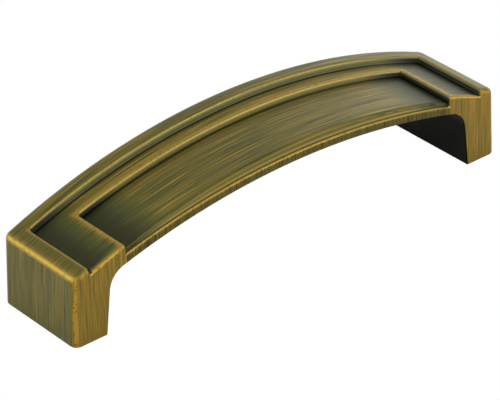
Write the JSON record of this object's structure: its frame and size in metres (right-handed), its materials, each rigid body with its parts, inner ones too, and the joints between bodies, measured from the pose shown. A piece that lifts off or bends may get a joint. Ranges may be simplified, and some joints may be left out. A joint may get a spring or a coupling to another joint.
{
  "type": "cabinet handle",
  "caption": "Bowed cabinet pull on two legs with a stepped raised frame along its back and ends, cast in one piece and screwed on from behind.",
  "frame": {"origin": "middle of the plane that both feet stand on, halfway between the two screw holes", "axes": "+X along the pull, +Y from the open front edge to the framed back edge, +Z out from the cabinet"},
  "size_m": [0.1034, 0.0212, 0.0246],
  "materials": {
    "antique_brass": "brushed antique brass plating, dark in the recesses and worn to gold along the edges"
  },
  "bodies": {
    "root": {"handle": "antique_brass"}
  },
  "joints": []
}
